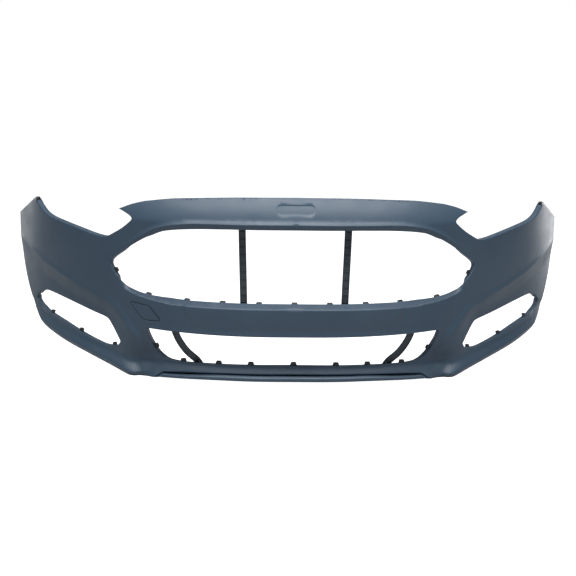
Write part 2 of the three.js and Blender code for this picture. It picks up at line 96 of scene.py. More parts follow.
def through(points, count):
    """Points on a smooth curve through the given ones."""
    p = np.array(points, dtype=float)
    p = np.vstack([2 * p[0] - p[1], p, 2 * p[-1] - p[-2]])
    out = []
    spans = len(p) - 3
    for t in np.linspace(0, spans, count):
        i = min(int(t), spans - 1)
        u = t - i
        a, b, c, d = p[i:i + 4]
        out.append(0.5 * (2 * b + (c - a) * u + (2 * a - 5 * b + 4 * c - d) * u ** 2
                          + (3 * b - a - 3 * c + d) * u ** 3))
    return np.array(out)


def from_line(x, z, line):
    """Signed distance of (|x|, z) from a line in the front view, positive to the right of its run."""
    a = np.abs(x)
    best = np.full(a.shape, 1e9)
    side = np.ones(a.shape)
    for p, q in zip(line[:-1], line[1:]):
        ux, uz = q - p
        t = np.clip(((a - p[0]) * ux + (z - p[1]) * uz) / (ux * ux + uz * uz), 0, 1)
        dx = a - p[0] - t * ux
        dz = z - p[1] - t * uz
        d = np.hypot(dx, dz)
        nearer = d < best
        side = np.where(nearer, np.sign(uz * dx - ux * dz), side)
        best = np.where(nearer, d, best)
    return best * side


def plan_depth(x):
    """Depth of the cover in plan, which sweeps back to the wheel arches."""
    t = np.maximum(0, np.abs(x) - FLAT_HALF) / (HALF_WIDTH - FLAT_HALF)
    return WING_DEPTH * t ** 2.1 + CORNER_DEPTH * t ** 14


BOTTOM_Z = -9  # the bottom edge beside the lip
BOTTOM_TURN_X = 500  # where the bottom edge starts to rise
BOTTOM_RISE = 106  # how far it rises towards the wheel arch
CORNER_DROP = 6  # the edge hangs lower at the front corner
OUTER_SAG = 3  # and a little lower below the fog lamp


def bottom_edge(x):
    """Height of the skin's bottom edge."""
    a = np.abs(x)
    corner = -CORNER_DROP * np.exp(-((a - 495) / 42) ** 2) - OUTER_SAG * np.exp(-((a - 740) / 60) ** 2)
    level = BOTTOM_Z * ease((a - 200) / 300)
    rising = BOTTOM_Z + BOTTOM_RISE * (np.maximum(0, a - BOTTOM_TURN_X) / 360) ** 1.18
    return corner + np.where(a < BOTTOM_TURN_X, level, rising)


def arch_edge(z):
    """Distance of the wheel-arch edge from the centre line."""
    return HALF_WIDTH - ARCH_TUCK * np.maximum(0, (ARCH_TOP_Z - z) / ARCH_TUCK_HEIGHT) ** 2.6


WING_CREASE = through([(500, 158), (533, 192), (560, 205), (610, 224), (690, 255), (745, 277), (800, 300),
                       (861, 332), (930, 378)], 60)
NOSE_LINE = through([(-20, 488), (200, 487), (300, 485), (350, 480), (400, 471), (440, 456), (482, 430),
                     (530, 397)], 50)
LEDGE_LINE = through([(-20, 229), (340, 229), (400, 233), (460, 242), (505, 254), (560, 274)], 40)
BAR_VALLEY = through([(428, 20), (440, 66), (452, 98), (468, 124), (488, 150), (512, 178), (537, 208),
                      (565, 240), (595, 275)], 30)
LAMP_STEP = through([(760, 222), (815, 196), (845, 178), (905, 146)], 20)
CORNER_RIDGE_HEIGHT = 15  # of the ridge above the bottom edge
CORNER_BULGE = 12  # how far the corner stands forward
BADGE = dict(z=531, half_width=56, half_height=14, corner=9, depth=2.0)
PLATE_HALF = 342  # half width of the flat plate area on the bar
PLATE_TOP_Z = 226
PLATE_RISE = 2.4  # how far it stands forward
LEDGE_SLOPE = 1.75  # of the ledge along the top of the bar
LOWER_BAR_BACK = 40  # how far the lower bar is set back
NOSE_LEAN = 0.36  # depth for each millimetre of height
NOSE_CURVE = 0.0031
LIP_RISE = 6.0  # rolled edge over the upper opening
LIP_SPREAD = 5.5
UNDER_LIP_SLOPE = 0.95
UNDER_LIP_MOST = 13
SCOOP_DEPTH = 17  # hollow under the wing's crease
CREASE_RISE = 2.6
CREASE_OUTER_RISE = 2.2  # the crease is sharper towards the wheel arch
COLUMN_RISE = 9  # column between the lower intake and the fog lamp
LAMP_STEP_DEPTH = 7  # step under the outer end of the fog lamp opening


def badge_distance(x, z):
    """Distance outside the rounded rectangle of the badge seat, negative inside it."""
    dx = np.abs(x) - BADGE["half_width"] + BADGE["corner"]
    dz = np.abs(z - BADGE["z"]) - BADGE["half_height"] + BADGE["corner"]
    outside = np.hypot(np.maximum(dx, 0), np.maximum(dz, 0))
    return outside + np.minimum(np.maximum(dx, dz), 0) - BADGE["corner"]


def nose(x, z):
    """Depth added by the nose: its lean, the rolled lip under it and the badge seat."""
    a = np.abs(x)
    up = z - NOSE_LINE_Z
    over = -from_line(x, z, NOSE_LINE)
    middle = 1 - ease((a - 455) / 85)
    lean = NOSE_LEAN * soft_ramp(up, 3) + NOSE_CURVE * np.maximum(0, up) ** 2
    lip = -LIP_RISE * np.exp(-(np.maximum(over, 0) / LIP_SPREAD) ** 2)
    under = np.minimum(UNDER_LIP_SLOPE * soft_ramp(-over, 2), UNDER_LIP_MOST)
    on_wing = ease((a - 560) / 140)
    seat = BADGE["depth"] * ease(0.5 - badge_distance(x, z) / 3)
    return lean * (1 - 0.55 * on_wing) + (lip + under) * middle * (z > 350) + seat


def bar(x, z):
    """Depth of the ledge on top of the bar, and of the faces of the bar and the lower bar."""
    a = np.abs(x)
    ledge_z = np.interp(a, LEDGE_LINE[:, 0], LEDGE_LINE[:, 1])
    ledge = LEDGE_SLOPE * soft_ramp(z - ledge_z, 1.8) * (z < 350) * (1 - ease((a - 490) / 60))
    lower = LOWER_BAR_BACK * ease((BAR_BOTTOM_Z + 2 - z) / (BAR_BOTTOM_Z - INTAKE_BOTTOM_Z))
    lower -= 0.7 * soft_ramp(INTAKE_BOTTOM_Z - 7 - z, 3)
    plate_side = PLATE_HALF - 0.5 * np.clip(PLATE_TOP_Z - z, 0, 80)
    plate = ease((plate_side - a) / 7) * ease((z - 150) / 60)
    around = ease((z - 146) / 10) * (1 - ease((a - 400) / 60)) * (z < 300)
    return ledge, lower * (1 - ease((a - 440) / 110)) + PLATE_RISE * (1 - plate) * around


def wing(x, z):
    """Depth added on the wing: its crease, the scoop below, the column and the step under the lamp."""
    a = np.abs(x)
    below = from_line(x, z, WING_CREASE)
    outer = ease((a - 500) / 70)
    scoop = SCOOP_DEPTH * ease(below / 50) * outer
    crease_rise = CREASE_RISE + CREASE_OUTER_RISE * ease((a - 640) / 120)
    ridge = -crease_rise * np.exp(-(below / 8) ** 2) * outer
    # the column beside the lower intake stands forward of the bar's end
    off_bar = from_line(x, z, BAR_VALLEY)
    column = -COLUMN_RISE * ease(off_bar / 26) * (1 - ease((z - 175) / 60)) * ease((z - 30) / 70)
    # the band under the lamp opening is set back behind the wing's edge
    under_lamp = LAMP_STEP_DEPTH * ease(from_line(x, z, LAMP_STEP) / 9) * ease((a - 808) / 20)
    return scoop + ridge + column * (1 - ease((a - 540) / 60)) + under_lamp


def surface(x, z):
    """Depth of the outer surface at any place in the front view."""
    x = np.asarray(x, dtype=float)
    z = np.asarray(z, dtype=float)
    a = np.abs(x)
    ledge, bar_face = bar(x, z)
    upper = bar_face + wing(x, z)
    ridge_z = bottom_edge(x) + CORNER_RIDGE_HEIGHT
    # the corner bulges forward at the lip's end and fades along the wing
    bulge = -CORNER_BULGE * ease((a - 446) / 80) * np.exp(-(np.maximum(0, a - 520) / 60) ** 2)
    ridge_y = 160 * (1 - ease((a - 425) / 22)) + 46 * (1 - ease((a - 432) / 72)) + bulge - 3
    slope = 0.72 + 0.15 * (1 - ease((a - 490) / 60))
    facet = ridge_y + slope * soft_ramp(z - ridge_z, 3)
    low = soft_least(upper, facet, 2)
    roll = 0.95 * soft_ramp(ridge_z - z, 3) * ease((a - 425) / 40)
    return plan_depth(x) + nose(x, z) + ledge + low + roll


def normals(x, z):
    """Unit normals of the outer surface, facing out of the car."""
    h = 0.4
    sx = (surface(x + h, z) - surface(x - h, z)) / (2 * h)
    sz = (surface(x, z + h) - surface(x, z - h)) / (2 * h)
    n = np.stack([sx, -np.ones_like(sx), sz], axis=-1)
    return n / np.linalg.norm(n, axis=-1, keepdims=True)


# ------------------------------------
# Cover skin, outlines: its edge and its openings in the front view, right-hand half first. The edge of
# the hole for the tow-eye cap follows the cap's own outline, with a small gap.
# ------------------------------------
EDGE_STEP = 4.0


def respaced(points, step=EDGE_STEP):
    """The same line with evenly spaced points."""
    p = np.asarray(points, dtype=float)
    run = np.concatenate([[0], np.cumsum(np.hypot(*np.diff(p, axis=0).T))])
    count = max(2, int(round(run[-1] / step)) + 1)
    s = np.linspace(0, run[-1], count)
    return np.stack([np.interp(s, run, p[:, 0]), np.interp(s, run, p[:, 1])], axis=1)


def chained(*stretches):
    """Stretches joined end to end, each with its own even spacing, without doubled points."""
    out = []
    for stretch in stretches:
        for p in respaced(stretch):
            if not out or np.hypot(*(p - out[-1])) > 0.8:
                out.append(p)
    return np.array(out)


def mirrored(half):
    """A closed outline from its right-hand half, which starts and ends on the centre line."""
    left = half[::-1] * [-1, 1]
    both = np.vstack([half, left[1:-1] if abs(half[0][0]) < 1e-6 else left])
    return both


def flipped(outline):
    """The same outline on the other side."""
    return outline[::-1] * [-1, 1]


bottom_x = np.linspace(440, 796, 60)
arch_z = np.linspace(ARCH_BOTTOM_Z + 36, ARCH_TOP_Z, 40)
COVER = mirrored(chained(
    [(0, SLOT_TOP_Z), (200, SLOT_TOP_Z - 1)],
    through([(200, SLOT_TOP_Z - 1), (330, 17), (398, 11.5), (409, 8), (422, 0),
             (440, float(bottom_edge(440)))], 30),
    np.stack([bottom_x, bottom_edge(bottom_x)], axis=1),
    through([(796, float(bottom_edge(796))), (818, 87), (834, 105), (float(arch_edge(131)), 131)], 16),
    np.stack([arch_edge(arch_z), arch_z], axis=1),
    [(HALF_WIDTH, ARCH_TOP_Z), (843, 508)],
    through([(843, 508), (838, 505), (828, 489), (812, 471), (795, 461), (778, 455), (740, 447),
             (690, 437), (632, 425), (600, 421), (584, 423), (566, 433), (535, 454), (511, 475),
             (503, 486), (513, 497), (545, 512)], 90),
    through([(545, 512), (505, 529), (464, 541)], 12),
    through([(464, 541), (400, 551), (340, 557), (180, 565), (0, HOOD_EDGE_Z)], 40),
))
GRILLE = mirrored(chained(
    [(0, GRILLE_BOTTOM_Z), (250, GRILLE_BOTTOM_Z)],
    through([(250, 244), (330, 244.5), (390, 247), (440, 251), (480, 258), (513, 270), (535, 286),
             (555, 306), (568, 326), (572.5, 341), (564, 356), (528, 384), (478, 418), (423, 448),
             (378, 460), (300, 468), (200, 471.5)], 120),
    [(200, 471.5), (0, GRILLE_TOP_Z - 1)],
))
INTAKE = mirrored(chained(
    [(0, INTAKE_BOTTOM_Z), (240, 44.5)],
    through([(240, 44.5), (300, 44), (345, 44), (384, 47.5), (408, 57), (427, 75), (443, 106), (453, 134),
             (455.5, 143)], 50),
    through([(455.5, 143), (454, 147), (448, 147.6)], 5),
    through([(448, 147.6), (350, 145.4), (180, BAR_BOTTOM_Z), (0, BAR_BOTTOM_Z - 0.5)], 30),
))
FOG = chained(
    through([(545, 87), (551, 78), (562, 72), (576, 70), (602, 70.5), (650, 83), (691, 96), (745, 115),
             (794, 130), (824, 143), (841, 155), (845, 168), (837, 184), (824, 196), (810, 202),
             (788, 203), (734, 193.5), (676, 180), (640, 171), (600, 161.5), (587, 157), (579, 150),
             (565, 129), (548, 101), (543, 92), (545, 87)], 160),
)[:-1]
CAP = chained(
    through([(-506, 221.5), (-492, 203), (-474, 182), (-462, 175)], 14),
    through([(-462, 175), (-456, 174), (-418, 174.5)], 12),
    through([(-418, 174.5), (-415, 177), (-420, 184), (-444, 213)], 12),
    through([(-444, 213), (-448, 217), (-454, 218), (-502, 223.5), (-506, 221.5)], 18),
)[:-1]
CAP_GAP = 1.8  # between the cap and its hole


def turns_left(outline):
    """Whether a closed outline runs anticlockwise in the front view."""
    x, z = outline.T
    return np.sum(x * np.roll(z, -1) - np.roll(x, -1) * z) > 0


def grown(outline, distance):
    """An outline moved outwards by a distance."""
    run = np.roll(outline, -1, axis=0) - np.roll(outline, 1, axis=0)
    run /= np.linalg.norm(run, axis=1, keepdims=True)
    out = np.stack([run[:, 1], -run[:, 0]], axis=1) * (1 if turns_left(outline) else -1)
    return outline + out * distance


def inside(points, outline):
    """Which points lie inside a closed outline."""
    x, z = points.T
    result = np.zeros(len(points), dtype=bool)
    for (x0, z0), (x1, z1) in zip(outline, np.roll(outline, -1, axis=0)):
        if z0 == z1:
            continue
        crosses = (z0 > z) != (z1 > z)
        result ^= crosses & (x < (x1 - x0) * (z - z0) / (z1 - z0) + x0)
    return result


def near(points, lines, distance):
    """Which points lie within a distance of any point of the lines."""
    tree = KDTree(len(lines))
    for i, (x, z) in enumerate(lines):
        tree.insert((x, z, 0), i)
    tree.balance()
    return np.array([tree.find((x, z, 0))[2] < distance for x, z in points])


# ------------------------------------
# Cover skin, moulding: a sheet is cut to its outline in the front view and laid on the outer surface,
# its edges are rounded over and turned back as flanges, and the wall gets its thickness on the inside.
# The tow-eye cap is made in the same way.
# ------------------------------------
GRID_STEP = 6.0


def lattice(step=GRID_STEP):
    """Points all over the front view, evenly spaced along the surface itself."""
    fine = np.linspace(0, HALF_WIDTH + 5, 2000)
    run = np.concatenate([[0], np.cumsum(np.hypot(np.diff(fine), np.diff(plan_depth(fine))))])
    right = np.interp(np.arange(0, run[-1], step), run, fine)
    columns = np.concatenate([-right[:0:-1], right])
    rows = np.arange(-15, HOOD_EDGE_Z + 5, step)
    x, z = np.meshgrid(columns, rows)
    x = x + np.where(np.arange(len(rows))[:, None] % 2, 0.25, -0.25) * step
    return np.stack([x.ravel(), z.ravel()], axis=1)


def badge_outline(offset):
    """A ring of points round the badge seat."""
    turn = np.linspace(0, 2 * np.pi, 120, endpoint=False)
    square = np.stack([np.clip(1.6 * np.cos(turn), -1, 1), np.clip(1.6 * np.sin(turn), -1, 1)], axis=1)
    corner = np.stack([np.cos(turn), np.sin(turn)], axis=1) * (BADGE["corner"] + offset)
    half = np.array([BADGE["half_width"], BADGE["half_height"]]) - BADGE["corner"]
    return square * half + corner + [0, BADGE["z"]]


def crease_rows():
    """Extra points beside the folds of the surface, so that the folds come out crisp."""
    ridge_x = np.arange(455, 840, 5.0)
    lines = [
        respaced(NOSE_LINE[NOSE_LINE[:, 0] > 0], 5),
        respaced(LEDGE_LINE[(LEDGE_LINE[:, 0] > 0) & (LEDGE_LINE[:, 0] < 545)], 5),
        respaced([(PLATE_HALF, PLATE_TOP_Z), (PLATE_HALF - 32, 162)], 4),
        respaced([(0, INTAKE_BOTTOM_Z - 7), (400, INTAKE_BOTTOM_Z - 7)], 6),
        respaced(LAMP_STEP[LAMP_STEP[:, 0] > 800], 5),
        np.stack([ridge_x, bottom_edge(ridge_x) + CORNER_RIDGE_HEIGHT], axis=1),
    ]
    rows = [badge_outline(offset) for offset in (-2.4, -0.8, 0.8, 2.4)]
    for line in lines:
        run = np.gradient(line, axis=0)
        run /= np.linalg.norm(run, axis=1, keepdims=True)
        across = np.stack([-run[:, 1], run[:, 0]], axis=1)
        for offset in (-4.5, -2.5, -0.9, 0.9, 2.5, 4.5):
            row = line + across * offset
            rows += [row, row * [-1, 1]]
    return np.vstack(rows)


def outward(outline, is_hole):
    """For each point of an outline: its place, the normal there, and the way out of the material."""
    x, z = outline.T
    place = np.stack([x, surface(x, z), z], axis=1)
    normal = normals(x, z)
    run = np.roll(place, -1, axis=0) - np.roll(place, 1, axis=0)
    run /= np.linalg.norm(run, axis=1, keepdims=True)
    out = np.cross(run, normal)
    out /= np.linalg.norm(out, axis=1, keepdims=True)
    if turns_left(outline) == is_hole:
        out = -out
    return place, normal, out


def flange_way(place, normal, out, straight_back):
    """Direction of a return flange: square to the panel, or straight back where that is asked for."""
    way = -normal + np.outer(straight_back(place), [0, 1.0, 0]) * 3
    way -= out * np.sum(way * out, axis=1, keepdims=True)
    return way / np.linalg.norm(way, axis=1, keepdims=True)


def nowhere(place):
    """No part of the edge."""
    return place[:, 1] * 0


def formed_sheet(name, outer, holes, points, edge_radius, flange, wall, straight_back=nowhere):
    """A moulded panel. edge_radius and flange give the rounding and the return along each outline."""
    rims = []
    for outline, is_hole in [(outer, False)] + [(hole, True) for hole in holes]:
        place, normal, out = outward(outline, is_hole)
        radius = edge_radius(place, is_hole)[:, None]
        inset = place - out * radius
        rims.append((inset[:, [0, 2]], normal, out, radius, is_hole))
    flat = [rim[0] for rim in rims]
    keep = inside(points, flat[0])
    for hole in flat[1:]:
        keep &= ~inside(points, hole)
    points = points[keep]
    points = points[~near(points, np.vstack(flat), 3.0)]
    coords = [Vector(p) for p in np.vstack(flat + [points])]
    edges = []
    first = 0
    for loop in flat:
        n = len(loop)
        edges += [(first + i, first + (i + 1) % n) for i in range(n)]
        first += n
    verts, _, faces, origin, _, _ = delaunay_2d_cdt(coords, edges, [], 0, 1e-5)
    spots = np.array([(v.x, v.y) for v in verts])
    middles = np.array([spots[list(f)].mean(axis=0) for f in faces])
    good = inside(middles, flat[0])
    for hole in flat[1:]:
        good &= ~inside(middles, hole)
    places = to_frame(np.stack([spots[:, 0], surface(*spots.T), spots[:, 1]], axis=1))
    bm = bmesh.new()
    made = [bm.verts.new(p) for p in places]
    for f, ok in zip(faces, good):
        if ok:
            bm.faces.new([made[i] for i in f])
    index_of = {}
    for i, sources in enumerate(origin):
        for s in sources:
            index_of[s] = i
    first = 0
    for loop, normal, out, radius, is_hole in rims:
        n = len(loop)
        ring = [made[index_of[first + i]] for i in range(n)]
        first += n
        base = np.stack([loop[:, 0], surface(*loop.T), loop[:, 1]], axis=1)
        centre = base - normal * radius
        way = flange_way(base, normal, out, straight_back)
        depth = flange(base, is_hole)
        sets = [centre + radius * (math.cos(t) * normal + math.sin(t) * out)
                for t in np.radians([22, 45, 67, 90])]
        sets += [sets[-1] + way * depth[:, None] * share for share in (0.1, 0.55, 1.0)]
        for target in sets:
            target = to_frame(target)
            fresh = [bm.verts.new(p) for p in target]
            for i in range(n):
                j = (i + 1) % n
                if ring[i] != ring[j]:
                    bm.faces.new((ring[i], ring[j], fresh[j], fresh[i]))
            ring = fresh
    loose = [v for v in bm.verts if not v.link_faces]
    bmesh.ops.delete(bm, geom=loose, context="VERTS")
    bmesh.ops.recalc_face_normals(bm, faces=bm.faces)
    front = min(bm.faces, key=lambda f: f.calc_center_median().y)
    if front.normal.y > 0:
        bmesh.ops.reverse_faces(bm, faces=bm.faces)
    mesh = bpy.data.meshes.new(name)
    bm.to_mesh(mesh)
    bm.free()
    panel = bpy.data.objects.new(name, mesh)
    bpy.context.scene.collection.objects.link(panel)
    thick = panel.modifiers.new("wall", "SOLIDIFY")
    thick.thickness = wall / 1000
    thick.offset = -1
    thick.use_even_offset = False
    mesh.polygons.foreach_set("use_smooth", [True] * len(mesh.polygons))
    return panel


SKIN_WALL = 2.8
SKIN_EDGE_RADIUS = 2.2
LAMP_EDGE_EXTRA = 3.0
SKIN_FLANGE = 13.0
ARCH_FLANGE = 24.0
CAP_HOLE_FLANGE = 2.0


def skin_edge_radius(place, is_hole):
    """Edges have a small rounding, and a larger one along the headlamps."""
    a = np.abs(place[:, 0])
    lamp = ease((a - 575) / 30) * (1 - ease((a - 832) / 8)) * (place[:, 2] > 380) * (not is_hole)
    return SKIN_EDGE_RADIUS + LAMP_EDGE_EXTRA * lamp


def skin_flange(place, is_hole):
    """Depth of the return: wide round the wheel arches and small round the cap's hole."""
    x, y, z = place.T
    depth = np.full(len(place), SKIN_FLANGE)
    if not is_hole:
        arch = (np.abs(x) > 846) & (z < ARCH_TOP_Z + 2)
        depth = np.where(arch, ARCH_FLANGE, depth)
    round_cap = (np.abs(x + 462) < 60) & (np.abs(z - 199) < 32) & is_hole
    return np.where(round_cap, CAP_HOLE_FLANGE, depth)


def top_edge(place):
    """Where the return runs straight back: along the bonnet edge."""
    x, y, z = place.T
    return ease((z - 512) / 20) * (np.abs(x) < 480)


skin_holes = [GRILLE, INTAKE, FOG, flipped(FOG), grown(CAP, CAP_GAP)]
rows = crease_rows()
spread = lattice()
spread = spread[~near(spread, rows, 3.6)]
skin = formed_sheet("cover_skin", COVER, skin_holes, np.vstack([spread, rows]), skin_edge_radius,
                    skin_flange, SKIN_WALL, top_edge)
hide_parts(*[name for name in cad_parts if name.startswith("fascia_")])
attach(skin, "cover")


# ------------------------------------
# Finish of the skin: satin slate-blue primer sprayed over the moulding. The spray leaves a slight
# flow in the colour and a fine peel, proud edges get a painted highlight and dust settles on top.
# ------------------------------------
def effect(name, inputs, outputs):
    """An empty shader node group with named inputs and outputs."""
    group = bpy.data.node_groups.new(name, "ShaderNodeTree")
    for label, kind, value in inputs:
        socket = group.interface.new_socket(label, in_out="INPUT", socket_type=kind)
        socket.default_value = value
    for label, kind in outputs:
        group.interface.new_socket(label, in_out="OUTPUT", socket_type=kind)
    return group, group.nodes.new("NodeGroupInput"), group.nodes.new("NodeGroupOutput")


def linked(tree, source, output, target, place):
    """Joins an output of one node to an input of another."""
    tree.links.new(source.outputs[output], target.inputs[place])


def noise_at(tree, detail=3.0, roughness=0.5):
    """Noise on object coordinates, with its scale left to be linked or set."""
    coords = tree.nodes.new("ShaderNodeTexCoord")
    noise = tree.nodes.new("ShaderNodeTexNoise")
    noise.inputs["Detail"].default_value = detail
    noise.inputs["Roughness"].default_value = roughness
    linked(tree, coords, "Object", noise, "Vector")
    return noise


def ranged(tree, low, high, to_low, to_high):
    """A node that turns one range of values into another."""
    node = tree.nodes.new("ShaderNodeMapRange")
    for label, value in (("From Min", low), ("From Max", high), ("To Min", to_low), ("To Max", to_high)):
        node.inputs[label].default_value = value
    return node


def multiplied(tree):
    """A node that multiplies two values."""
    node = tree.nodes.new("ShaderNodeMath")
    node.operation = "MULTIPLY"
    return node


# cloudy variation of a colour between two tones
cloudy, given, made = effect(
    "cloudy_tone",
    [("Tone A", "NodeSocketColor", (0.1, 0.1, 0.1, 1)), ("Tone B", "NodeSocketColor", (0.2, 0.2, 0.2, 1)),
     ("Scale", "NodeSocketFloat", 4.0)],
    [("Color", "NodeSocketColor")])
cloud = noise_at(cloudy, detail=4.0)
linked(cloudy, given, "Scale", cloud, "Scale")
spread_out = ranged(cloudy, 0.32, 0.68, 0, 1)
linked(cloudy, cloud, "Fac", spread_out, "Value")
blend = cloudy.nodes.new("ShaderNodeMix")
blend.data_type = "RGBA"
linked(cloudy, spread_out, "Result", blend, "Factor")
cloudy.links.new(given.outputs["Tone A"], blend.inputs[6])
cloudy.links.new(given.outputs["Tone B"], blend.inputs[7])
cloudy.links.new(blend.outputs[2], made.inputs["Color"])

# fine relief of a sprayed or moulded surface
grain, given, made = effect(
    "fine_grain",
    [("Scale", "NodeSocketFloat", 600.0), ("Coarse Scale", "NodeSocketFloat", 90.0)],
    [("Height", "NodeSocketFloat")])
fine = noise_at(grain, detail=2.0)
coarse = noise_at(grain, detail=2.0)
linked(grain, given, "Scale", fine, "Scale")
linked(grain, given, "Coarse Scale", coarse, "Scale")
both = grain.nodes.new("ShaderNodeMath")
both.operation = "ADD"
linked(grain, fine, "Fac", both, 0)
linked(grain, coarse, "Fac", both, 1)
linked(grain, both, "Value", made, "Height")

# painted highlight along proud edges, broken into patches
edge_highlight_group, given, made = effect(
    "painted_edge_highlight",
    [("Scale", "NodeSocketFloat", 60.0), ("Amount", "NodeSocketFloat", 0.5)],
    [("Mask", "NodeSocketFloat")])
shape = edge_highlight_group.nodes.new("ShaderNodeNewGeometry")
proud = ranged(edge_highlight_group, 0.53, 0.62, 0, 1)
linked(edge_highlight_group, shape, "Pointiness", proud, "Value")
patchy = noise_at(edge_highlight_group, detail=5.0)
linked(edge_highlight_group, given, "Scale", patchy, "Scale")
patches = ranged(edge_highlight_group, 0.35, 0.65, 0, 1)
linked(edge_highlight_group, patchy, "Fac", patches, "Value")
highlight_spots = multiplied(edge_highlight_group)
linked(edge_highlight_group, proud, "Result", highlight_spots, 0)
linked(edge_highlight_group, patches, "Result", highlight_spots, 1)
share = multiplied(edge_highlight_group)
linked(edge_highlight_group, highlight_spots, "Value", share, 0)
linked(edge_highlight_group, given, "Amount", share, 1)
linked(edge_highlight_group, share, "Value", made, "Mask")

# where dust settles: on faces that look up
dusty, given, made = effect(
    "settled_dust",
    [("Scale", "NodeSocketFloat", 25.0), ("Amount", "NodeSocketFloat", 0.3)],
    [("Mask", "NodeSocketFloat")])
facing = dusty.nodes.new("ShaderNodeNewGeometry")
split = dusty.nodes.new("ShaderNodeSeparateXYZ")
linked(dusty, facing, "Normal", split, "Vector")
upward = ranged(dusty, 0.35, 0.95, 0, 1)
linked(dusty, split, "Z", upward, "Value")
motes = noise_at(dusty, detail=6.0, roughness=0.65)
linked(dusty, given, "Scale", motes, "Scale")
mote_range = ranged(dusty, 0.35, 0.7, 0.2, 1)
linked(dusty, motes, "Fac", mote_range, "Value")
settled = multiplied(dusty)
linked(dusty, upward, "Result", settled, 0)
linked(dusty, mote_range, "Result", settled, 1)
dust_share = multiplied(dusty)
linked(dusty, settled, "Value", dust_share, 0)
linked(dusty, given, "Amount", dust_share, 1)
linked(dusty, dust_share, "Value", made, "Mask")


def placed(tree, group, **values):
    """An effect placed in a material, with its inputs set."""
    node = tree.nodes.new("ShaderNodeGroup")
    node.node_tree = group
    for label, value in values.items():
        node.inputs[label.replace("_", " ")].default_value = value
    return node


def layered(tree, under, over, mask):
    """One colour over another where the mask says."""
    node = tree.nodes.new("ShaderNodeMix")
    node.data_type = "RGBA"
    tree.links.new(mask, node.inputs["Factor"])
    tree.links.new(under, node.inputs[6])
    node.inputs[7].default_value = over
    return node.outputs[2]


def finish_of(name, tone_a, tone_b, edge, roughness, grain_size, relief, cloud_scale=3.0, highlight_share=0.4,
              dust=0.25, metallic=0.0, coat=0.0, specular=0.5):
    """A material with cloudy tone, a painted highlight on proud edges, dust and fine relief."""
    look = bpy.data.materials.new(name)
    look.use_nodes = True
    tree = look.node_tree
    shader = tree.nodes["Principled BSDF"]
    tone = placed(tree, cloudy, Tone_A=tone_a, Tone_B=tone_b, Scale=cloud_scale)
    highlight_mask = placed(tree, edge_highlight_group, Scale=60.0, Amount=highlight_share)
    dust_mask = placed(tree, dusty, Scale=28.0, Amount=dust)
    # proud edges are mixed towards the edge colour, a lighter copy of the tone: a painted highlight
    colour = layered(tree, tone.outputs["Color"], edge, highlight_mask.outputs["Mask"])
    colour = layered(tree, colour, (0.33, 0.33, 0.31, 1), dust_mask.outputs["Mask"])
    tree.links.new(colour, shader.inputs["Base Color"])
    shader.inputs["Metallic"].default_value = metallic
    shader.inputs["Specular IOR Level"].default_value = specular
    shader.inputs["Coat Weight"].default_value = coat
    shader.inputs["Coat Roughness"].default_value = 0.3
    blotch = noise_at(tree, detail=4.0)
    blotch.inputs["Scale"].default_value = 14.0
    gloss = ranged(tree, 0.3, 0.7, roughness - 0.05, roughness + 0.07)
    linked(tree, blotch, "Fac", gloss, "Value")
    tree.links.new(gloss.outputs["Result"], shader.inputs["Roughness"])
    surface_grain = placed(tree, grain, Scale=grain_size, Coarse_Scale=grain_size / 6)
    bump = tree.nodes.new("ShaderNodeBump")
    bump.inputs["Strength"].default_value = 0.35
    bump.inputs["Distance"].default_value = relief
    linked(tree, surface_grain, "Height", bump, "Height")
    tree.links.new(bump.outputs["Normal"], shader.inputs["Normal"])
    return look


# the third colour is the painted highlight on proud edges, a lighter copy of the primer
primer = finish_of("slate_primer", (0.040, 0.066, 0.100, 1), (0.050, 0.080, 0.115, 1),
                   (0.085, 0.118, 0.150, 1), roughness=0.4, grain_size=420.0, relief=0.00012,
                   highlight_share=0.35, dust=0.08, specular=0.3)
skin.data.materials.append(primer)


# ------------------------------------
# Tow-eye cap on the left of the bar: a small cover moulded in the same plastic and primed with it,
# flush in its own hole with a narrow gap, on a body of its own.
# ------------------------------------
CAP_EDGE_RADIUS = 0.9
CAP_FLANGE = 1.2
CAP_WALL = 1.6
LEDGE_BEHIND = 4.4  # the ledge lies this far behind the surface
LEDGE_OUTSIDE = 2.5  # reaches this far beyond the hole
LEDGE_INSIDE = 4.5  # and this far inside the cap's outline
LEDGE_EDGE_RADIUS = 0.3
LEDGE_FLANGE = 0.6
LEDGE_WALL = 1.2


def evenly(value):
    """The same rounding or return at every point of an edge."""
    return lambda place, is_hole: np.full(len(place), value)


cap_rows = lattice(4.0)
cap = formed_sheet("tow_cap_cover", CAP, [], cap_rows, evenly(CAP_EDGE_RADIUS), evenly(CAP_FLANGE),
                   CAP_WALL)
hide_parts("tow_eye_cap")
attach(cap, "tow_cap")
cap.data.materials.append(primer)

# the ledge moulded behind the hole, which the cap closes against
ledge_outer = grown(CAP, CAP_GAP + LEDGE_OUTSIDE)
ledge_inner = grown(CAP, -LEDGE_INSIDE)[::-1]
ledge = formed_sheet("cap_ledge", ledge_outer, [ledge_inner], cap_rows, evenly(LEDGE_EDGE_RADIUS),
                     evenly(LEDGE_FLANGE), LEDGE_WALL)
ledge.data.transform(Matrix.Translation((0, LEDGE_BEHIND / 1000, 0)))
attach(ledge, "cover")
ledge.data.materials.append(primer)


# ------------------------------------
# Fixing tabs: short tongues moulded on the flanges of the openings, which the grille and the lamp
# bezels snap onto. Each carries a black block on its tip, which paints the shade seen there.
# ------------------------------------
def edge_frame(outline, x, z, is_hole=True):
    """Axes at the point of an edge nearest to (x, z): along it, out over it, and off the surface."""
    place, normal, out = outward(outline, is_hole)
    i = int(np.argmin(np.hypot(outline[:, 0] - x, outline[:, 1] - z)))
    along = np.cross(out[i], normal[i])
    matrix = Matrix.Identity(4)
    for column, axis in enumerate((along, out[i], normal[i])):
        matrix.col[column] = (*axis, 0)
    matrix.col[3] = (*place[i], 1)
    return matrix


